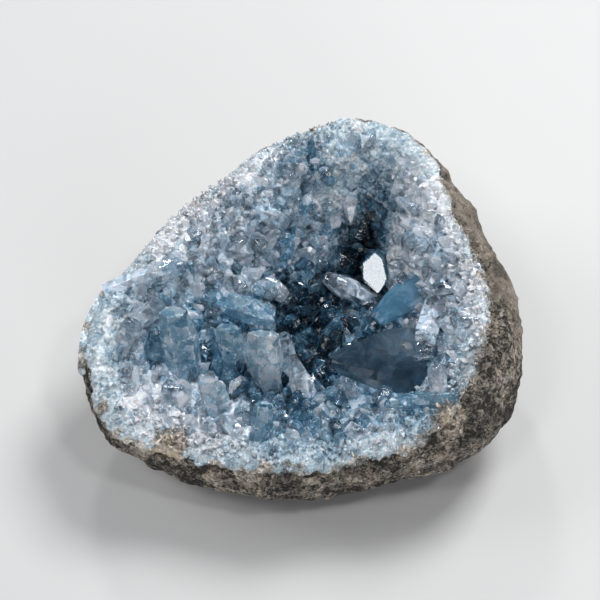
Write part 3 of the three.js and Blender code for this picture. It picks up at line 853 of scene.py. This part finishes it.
MEDIUM_COUNT, MEDIUM_SEED, MEDIUM_SUNK = 700, 1000, 1.2
MEDIUM_LENGTH, MEDIUM_WIDTH = (3.0, 6.5), (4.2, 6.0)
# The x, y and radius of each place that is kept free.
CLEAR_SPOTS = [(26.5, 20.3, 6), (33, -24, 6), (25, -27, 5.5), (15, -25, 4), (31, 1, 4.5)]


def pick(values, mask):
    """The same measures, of the masked crystals alone."""
    return {key: value[mask] for key, value in values.items()}


block_crystal, tree, shader = celestite(
    "block_crystal", veils=(620.0, 0.16, 0.0004), roughness=(0.02, 0.16), faces=(450.0, 0.95, 0.16),
    transmission=0.5, edge=0.2)
let_light_in(tree, shader, (0.72, 0.82, 0.88))

seed, here, axis, out_share = spiral(MEDIUM_COUNT, 0.5, MEDIUM_SEED, upright=0.75, loose=1.3, shift=0.37)
medium = grown(
    seed, here, axis, 1 - out_share**1.5, MEDIUM_LENGTH, MEDIUM_WIDTH, longer=(0.6, 1.6), wider=(0.6, 1.4),
    sunk=MEDIUM_SUNK, root=ROOT, thick=(0.5, 1), blunt=(0.1, 0.7), edge=(0.1, 0.9), shoulder=(0.5, 0.85))
shade = shade_of(here, seed, 0.7)
away = [np.hypot(here[:, 0] - x, here[:, 1] - y) - radius for x, y, radius in CLEAR_SPOTS]
free = np.all(np.array(away) > 0, axis=0)
even, odd = free & (seed % 2 == 0), free & (seed % 2 == 1)
clouded("medium", pick(medium, even), sides=6, shade=shade[even], bevel=0.06)
blocks = crystals("medium_blocks", **pick(medium, odd), sides=6, shade=shade[odd], bevel=0.06)
finish_crystals(blocks, block_crystal)

# ----------------------------------------------------------------------------------------------------------
# The druse: thousands of small four-sided crystals that cover the bed between the larger ones, longer and
# wider towards the deepest place. They are dull blue celestite with glassy faces.

DRUSE_COUNT, DRUSE_SEED = 3000, 5000
DRUSE_SUNK, DRUSE_ROOT = 0.8, 1.0
DRUSE_LENGTH, DRUSE_WIDTH = (0.4, 2.4), (1.3, 2.6)
druse_crystal, tree, shader = celestite(
    "druse_crystal", veils=(500.0, 0.2, 0.0002), roughness=(0.03, 0.25), faces=(800.0, 0.12, 0.12),
    transmission=0.3)
let_light_in(tree, shader, (0.82, 0.88, 0.91))

seed, here, axis, out_share = spiral(
    DRUSE_COUNT, 0.5, DRUSE_SEED, upright=0.6, loose=1.4, shift=0.71, rim=0.7)
druse = grown(
    seed, here, axis, (1 - out_share**1.5) ** 0.6, DRUSE_LENGTH, DRUSE_WIDTH, longer=(0.6, 1.6),
    wider=(0.6, 1.5), sunk=DRUSE_SUNK, root=DRUSE_ROOT, thick=(0.5, 1), blunt=(0.2, 0.8), edge=(0.2, 0.9),
    shoulder=(0.5, 0.8))
druse = crystals("druse", **druse, sides=4, shade=shade_of(here, seed, 0.8, -0.05))
finish_crystals(druse, druse_crystal)

# ----------------------------------------------------------------------------------------------------------
# The great crystals: those that stand out one by one. Two are flat slabs of smooth dull blue, one is a
# plate that shines like a mirror, some are glassy blue blocks, and the others are clear round a cloudy
# root.

# Each one's name, azimuth and way inward of its foot, its axis's lean from upright and towards which
# azimuth, its length out of the bed, width, thick, blunt, edge, shoulder, spin, look and shade. Angles are
# in degrees.
GREAT = {
    "broad slab": (325, 14, 86, 174, 29, 3.7, 6.6, 0.8, 0.3, 0.6, 320, "slab", 0.82),
    "right face": (7, 14, 102, 220, 19, 2.9, 4.4, 0.8, 0.45, 0.5, 40, "slab", 0.58),
    "right block": (352, 16, 70, 257, 23, 8.9, 1.11, 0.6, 0.7, 0.6, 105, "cloud", 0.0),
    "slab's prop": (318, 5, 91, 186, 17, 5.5, 1.0, 0.4, 0.4, 0.7, 335, "block", 0.45),
    "pale block": (317, 7, 25, 110, 11, 4.9, 1.25, 0.7, 0.7, 0.7, 270, "cloud", 0.0),
    "half dome": (290, 24, 21, 123, 10, 6.2, 1.11, 0.5, 0.6, 0.5, 310, "cloud", 0.05),
    "clear point": (266, 26, 35, 114, 16, 7.5, 1.11, 0.3, 0.35, 0.65, 280, "cloud", 0.0),
    "tall block": (240, 32, 23, 93, 20, 9.0, 1.43, 0.5, 0.8, 0.65, 270, "block", 0.2),
    "tall block's twin": (249, 34, 28, 97, 18, 5.6, 1.25, 0.4, 0.5, 0.7, 275, "cloud", 0.15),
    "white shoulder": (227, 44, 31, 148, 15, 7.1, 1.25, 0.6, 0.8, 0.6, 295, "cloud", 0.0),
    "lying rod": (176, 26, 90, 339, 21, 8.0, 1.11, 0.55, 0.6, 0.8, 190, "block", 0.42),
    "teal block": (218, 40, 18, 94, 17, 7.5, 1.25, 0.85, 0.85, 0.7, 275, "block", 0.33),
    "clear rod": (146, 25, 103, 324, 14, 5.4, 1.11, 0.3, 0.6, 0.8, 170, "cloud", 0.0),
    "hanging point": (71, 12, 124, 267, 12, 6.0, 1.11, 0.12, 0.3, 0.6, 85, "cloud", 0.05),
    "hanging tip": (84, 21, 116, 250, 10, 4.4, 1.25, 0.5, 0.5, 0.7, 60, "cloud", 0.0),
    "glassy blade": (16, 22, 66, 167, 21, 5.8, 1.67, 0.35, 0.5, 0.75, 310, "cloud", 0.0),
    "mirror plate": (45, 20, 41, 251, 13, 10.2, 1.4, 0.95, 0.95, 0.8, 0, "mirror", 0.5),
    "smooth blue face": (211, 28, 18, 106, 23, 8.0, 1.67, 0.7, 0.7, 0.6, 280, "block", 0.3),
    "dark diamond": (204, 20, 17, 84, 13, 6.4, 1.25, 0.2, 0.3, 0.5, 275, "block", 0.6),
    "pale wedge": (205, 24, 18, 116, 12, 3.6, 1.43, 0.3, 0.8, 0.6, 285, "cloud", 0.0),
    "sparkling block": (190, 13, 40, 19, 12, 8.3, 1.11, 0.6, 0.7, 0.6, 245, "cloud", 0.0),
    "pale cluster": (178, 2, 75, 15, 20, 7.0, 1.25, 0.6, 0.6, 0.7, 230, "cloud", 0.05),
    "dark gem": (88, 9, 20, 97, 8, 4.5, 1.0, 0.3, 0.4, 0.6, 270, "block", 0.65),
    "rounded lens": (121, 12, 88, 332, 12, 6.5, 1.11, 0.6, 0.6, 0.7, 185, "cloud", 0.1),
    "dark round": (110, 18, 113, 272, 9, 7.1, 1.11, 0.6, 0.7, 0.7, 95, "block", 0.55),
    "pool block": (311, 47, 27, 99, 11, 6.3, 1.43, 0.5, 0.6, 0.6, 270, "cloud", 0.35),
    "pool point": (260, 52, 28, 40, 12, 5.3, 1.25, 0.3, 0.5, 0.6, 250, "block", 0.55),
    "step block": (356, 32, 55, 168, 12, 5.8, 1.25, 0.5, 0.6, 0.6, 310, "cloud", 0.25),
    "low block": (232, 20, 21, 131, 13, 6.4, 1.43, 0.5, 0.7, 0.6, 290, "block", 0.22),
    "low teal": (254, 10, 20, 88, 13, 5.9, 1.43, 0.5, 0.7, 0.6, 270, "block", 0.4),
    "far left block": (198, 10, 28, 33, 12, 6.0, 1.43, 0.5, 0.7, 0.6, 255, "cloud", 0.05),
}
GREAT_SEED, ROOT_SHARE = 200, 0.25
measures = np.array([crystal[:11] for crystal in GREAT.values()], float).T
turns, inward, lean, towards, length, width, thick, blunt, edge, shoulder, spin = measures
here, _ = stand_at(np.radians(turns), inward)
lean, towards = np.radians(lean), np.radians(towards)
axis = np.stack([np.sin(lean) * np.cos(towards), np.sin(lean) * np.sin(towards), np.cos(lean)], -1)
root = ROOT + ROOT_SHARE * width * np.maximum(1, thick)
great = dict(
    foot=here - axis * root[:, None], axis=axis, spin=np.radians(spin), length=length + root, width=width,
    thick=thick, blunt=blunt, edge=edge, shoulder=shoulder, seed=GREAT_SEED + np.arange(len(GREAT)))
look_of = np.array([crystal[11] for crystal in GREAT.values()])
shade = np.array([crystal[12] for crystal in GREAT.values()])

slab_crystal, tree, shader = celestite(
    "slab_crystal", veils=(140.0, 0.12, 0.0), roughness=(0.22, 0.46), faces=(300.0, 0.12, 0.02),
    transmission=0.35, flecks_and_painted_glints=0.08)
feed(tree, shader, {"Specular IOR Level": 0.3})
let_light_in(tree, shader, (0.4, 0.56, 0.66))
mirror_crystal, tree, shader = celestite(
    "mirror_crystal", veils=(160.0, 0.12, 0.0), roughness=(0.01, 0.03), faces=(300.0, 0.0, 0.0),
    transmission=0.55, flecks_and_painted_glints=0.0)

for look, made_of, bevel in (("slab", slab_crystal, 0.15), ("block", block_crystal, 0.05),
                             ("mirror", mirror_crystal, 0.05)):
    mask = look_of == look
    piece = crystals("great_" + look + "s", **pick(great, mask), sides=6, shade=shade[mask], bevel=bevel)
    finish_crystals(piece, made_of)
mask = look_of == "cloud"
clouded("great", pick(great, mask), sides=6, shade=shade[mask], bevel=0.12)

# ----------------------------------------------------------------------------------------------------------
# The setting: a plain pale floor under a dim sky, six soft studio lamps round the geode, and the camera,
# which looks down on it from the front.

FLOOR_SIZE = 4
bpy.ops.mesh.primitive_plane_add(size=FLOOR_SIZE)
floor = bpy.context.object
floor.name = "floor"
floor_paint, _, _ = material("floor_paint", {"Base Color": (0.55, 0.55, 0.55, 1), "Roughness": 0.6})
floor.data.materials.append(floor_paint)

world = bpy.data.worlds.new("studio")
world.use_nodes = True
tree = world.node_tree
feed(tree, tree.nodes["Background"], {"Color": (0.85, 0.9, 1.0, 1), "Strength": 0.14})
bpy.context.scene.world = world

MIDDLE_HEIGHT = 30 * MM


def softbox(name, azimuth, elevation, distance, size, power):
    """A square light on a sphere round the geode, facing its middle. Angles are degrees, the rest SI."""
    a, e = np.radians(azimuth), np.radians(elevation)
    back = Vector((np.cos(a) * np.cos(e), np.sin(a) * np.cos(e), np.sin(e)))
    light = bpy.data.lights.new(name, "AREA")
    light.size, light.energy = size, power
    lamp = bpy.data.objects.new(name, light)
    lamp.location = back * distance + Vector((0, 0, MIDDLE_HEIGHT))
    lamp.rotation_mode = "QUATERNION"
    lamp.rotation_quaternion = back.to_track_quat("Z", "Y")
    bpy.context.scene.collection.objects.link(lamp)


softbox("key", 50, 55, 0.8, 0.3, 5.6)
softbox("back glint", 100, 40, 0.8, 0.08, 1.1)
softbox("left glint", 225, 62, 0.8, 0.16, 1.0)
softbox("right glint", 320, 65, 0.8, 0.08, 0.9)
softbox("fill", 170, 40, 0.9, 0.4, 2.4)
softbox("front", 285, 18, 1.0, 0.4, 2.6)

FRAME_WIDTH = 176.6 * MM
LENS, SENSOR = 95, 36
ELEVATION = np.radians(55)
TARGET = np.array([0, 3.53, 32.47]) * MM - MIDDLE * MM
back = np.array([0, -np.cos(ELEVATION), np.sin(ELEVATION)])
camera = bpy.data.objects.new("camera", bpy.data.cameras.new("camera"))
camera.data.lens, camera.data.sensor_width = LENS, SENSOR
camera.location = TARGET + back * FRAME_WIDTH * LENS / SENSOR
camera.rotation_euler = (np.pi / 2 - ELEVATION, 0, 0)
bpy.context.scene.collection.objects.link(camera)
bpy.context.scene.camera = camera
bpy.context.scene.view_settings.view_transform = "Standard"
